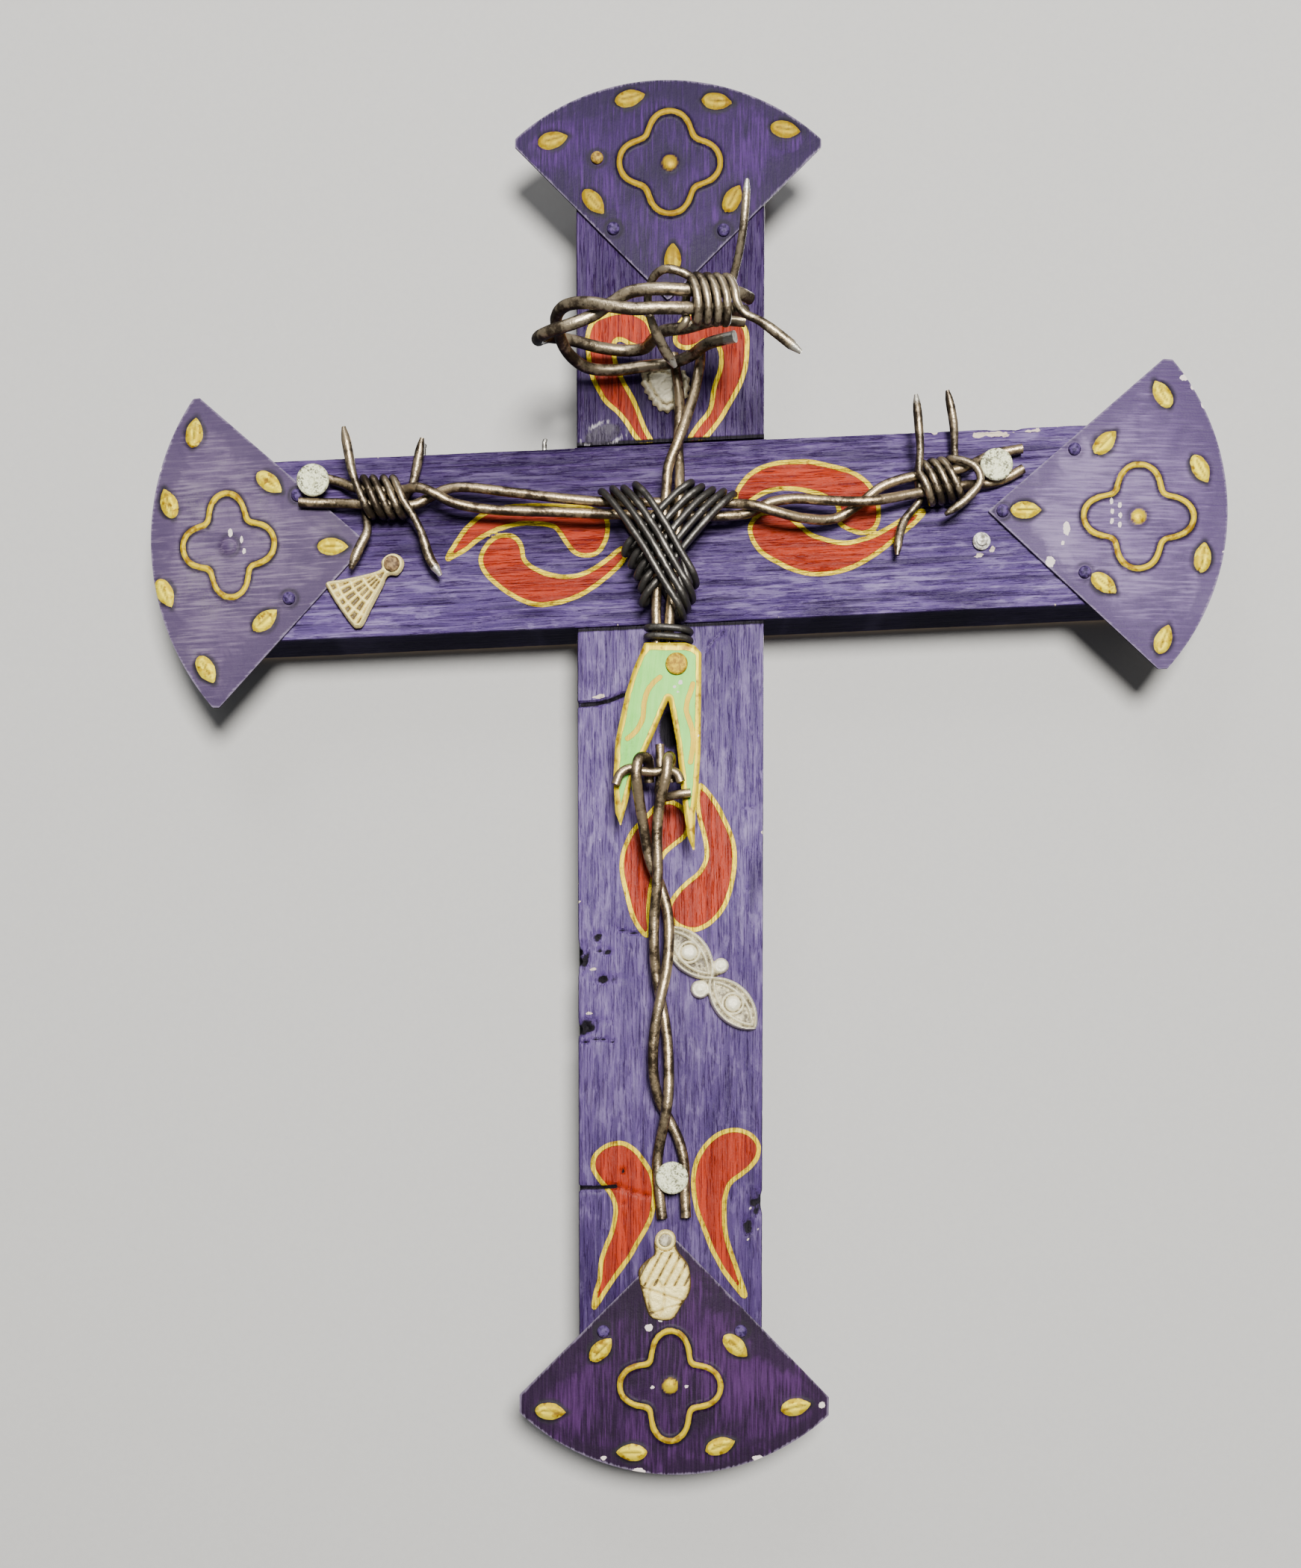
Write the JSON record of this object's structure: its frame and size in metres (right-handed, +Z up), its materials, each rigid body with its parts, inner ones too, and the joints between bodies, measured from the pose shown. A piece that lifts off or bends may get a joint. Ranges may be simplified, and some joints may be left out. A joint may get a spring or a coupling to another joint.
{
  "type": "wall crucifix",
  "caption": "Painted board cross with embossed tin end fans, small cast charms and a figure bent from barbed wire with a sheet-metal loincloth.",
  "frame": {"origin": "on the flat back of the upright board, where the centre lines of the two boards meet", "axes": "+Z up the wall along the upright, +X to the viewer's right along the crossbar, +Y out of the back into the wall; the painted face looks towards -Y"},
  "size_m": [0.2565, 0.0593, 0.333],
  "materials": {
    "arm_wire_1": "dark brown patina with bright rubbed places",
    "arm_wire_2": "dark brown patina with bright rubbed places",
    "brad_1": "bright",
    "brad_2": "bright",
    "chest_binding_left": "black annealed wire",
    "chest_binding_right": "black annealed wire",
    "crossbar": "purple brushed paint over softwood, worn and scratched",
    "crown_barb_1": "dark brown patina with bright rubbed places",
    "crown_barb_2": "dark brown patina with bright rubbed places",
    "crown_wire_1": "dark brown patina with bright rubbed places",
    "crown_wire_2": "dark brown patina with bright rubbed places",
    "eyes_charm": "pale cast metal, dark in the recesses",
    "fan_charm": "pale cast metal, dark in the recesses",
    "fan_charm_tack": "brown patina",
    "fan_tack_bottom_1": "paint worn off the dome",
    "fan_tack_bottom_2": "paint worn off the dome",
    "fan_tack_left_1": "paint worn off the dome",
    "fan_tack_left_2": "paint worn off the dome",
    "fan_tack_right_1": "paint worn off the dome",
    "fan_tack_right_2": "paint worn off the dome",
    "fan_tack_right_3": "paint worn off the dome",
    "fan_tack_top_1": "paint worn off the dome",
    "fan_tack_top_2": "paint worn off the dome",
    "fan_tack_top_3": "paint worn off the dome",
    "foot_nail": "weathered galvanised head",
    "hand_charm": "pale cast metal, dark in the recesses",
    "hand_charm_tack": "dull head",
    "hand_nail_left": "weathered galvanised head",
    "hand_nail_right": "weathered galvanised head",
    "heart_charm": "pale cast metal, dark in the recesses",
    "hip_wire_1": "dark brown patina with bright rubbed places",
    "hip_wire_2": "dark brown patina with bright rubbed places",
    "left_hand_barb_1": "dark brown patina with bright rubbed places",
    "left_hand_barb_2": "dark brown patina with bright rubbed places",
    "leg_wire_1": "dark brown patina with bright rubbed places",
    "leg_wire_2": "dark brown patina with bright rubbed places",
    "loincloth": "pale green paint with gold edges, dusty",
    "loincloth_rivet": "gold paint",
    "neck_wire_1": "dark brown patina with bright rubbed places",
    "neck_wire_2": "dark brown patina with bright rubbed places",
    "right_hand_barb_1": "dark brown patina with bright rubbed places",
    "right_hand_barb_2": "dark brown patina with bright rubbed places",
    "stray_nail": "dull pale metal",
    "tin_fan_bottom": "thin purple paint on embossed tin, gold on the raised work",
    "tin_fan_left": "thin purple paint on embossed tin, gold on the raised work",
    "tin_fan_right": "thin purple paint on embossed tin, gold on the raised work",
    "tin_fan_top": "thin purple paint on embossed tin, gold on the raised work",
    "upright_board": "purple brushed paint over softwood, worn and scratched",
    "waist_ring": "black annealed wire"
  },
  "bodies": {
    "root": {"arm_wire_1": "arm_wire_1", "arm_wire_2": "arm_wire_2", "brad_1": "brad_1", "brad_2": "brad_2", "chest_binding_left": "chest_binding_left", "chest_binding_right": "chest_binding_right", "crossbar": "crossbar", "crown_barb_1": "crown_barb_1", "crown_barb_2": "crown_barb_2", "crown_wire_1": "crown_wire_1", "crown_wire_2": "crown_wire_2", "eyes_charm": "eyes_charm", "fan_charm": "fan_charm", "fan_charm_tack": "fan_charm_tack", "fan_tack_bottom_1": "fan_tack_bottom_1", "fan_tack_bottom_2": "fan_tack_bottom_2", "fan_tack_left_1": "fan_tack_left_1", "fan_tack_left_2": "fan_tack_left_2", "fan_tack_right_1": "fan_tack_right_1", "fan_tack_right_2": "fan_tack_right_2", "fan_tack_right_3": "fan_tack_right_3", "fan_tack_top_1": "fan_tack_top_1", "fan_tack_top_2": "fan_tack_top_2", "fan_tack_top_3": "fan_tack_top_3", "foot_nail": "foot_nail", "hand_charm": "hand_charm", "hand_charm_tack": "hand_charm_tack", "hand_nail_left": "hand_nail_left", "hand_nail_right": "hand_nail_right", "heart_charm": "heart_charm", "hip_wire_1": "hip_wire_1", "hip_wire_2": "hip_wire_2", "left_hand_barb_1": "left_hand_barb_1", "left_hand_barb_2": "left_hand_barb_2", "leg_wire_1": "leg_wire_1", "leg_wire_2": "leg_wire_2", "loincloth": "loincloth", "loincloth_rivet": "loincloth_rivet", "neck_wire_1": "neck_wire_1", "neck_wire_2": "neck_wire_2", "right_hand_barb_1": "right_hand_barb_1", "right_hand_barb_2": "right_hand_barb_2", "stray_nail": "stray_nail", "tin_fan_bottom": "tin_fan_bottom", "tin_fan_left": "tin_fan_left", "tin_fan_right": "tin_fan_right", "tin_fan_top": "tin_fan_top", "upright_board": "upright_board", "waist_ring": "waist_ring"}
  },
  "joints": []
}
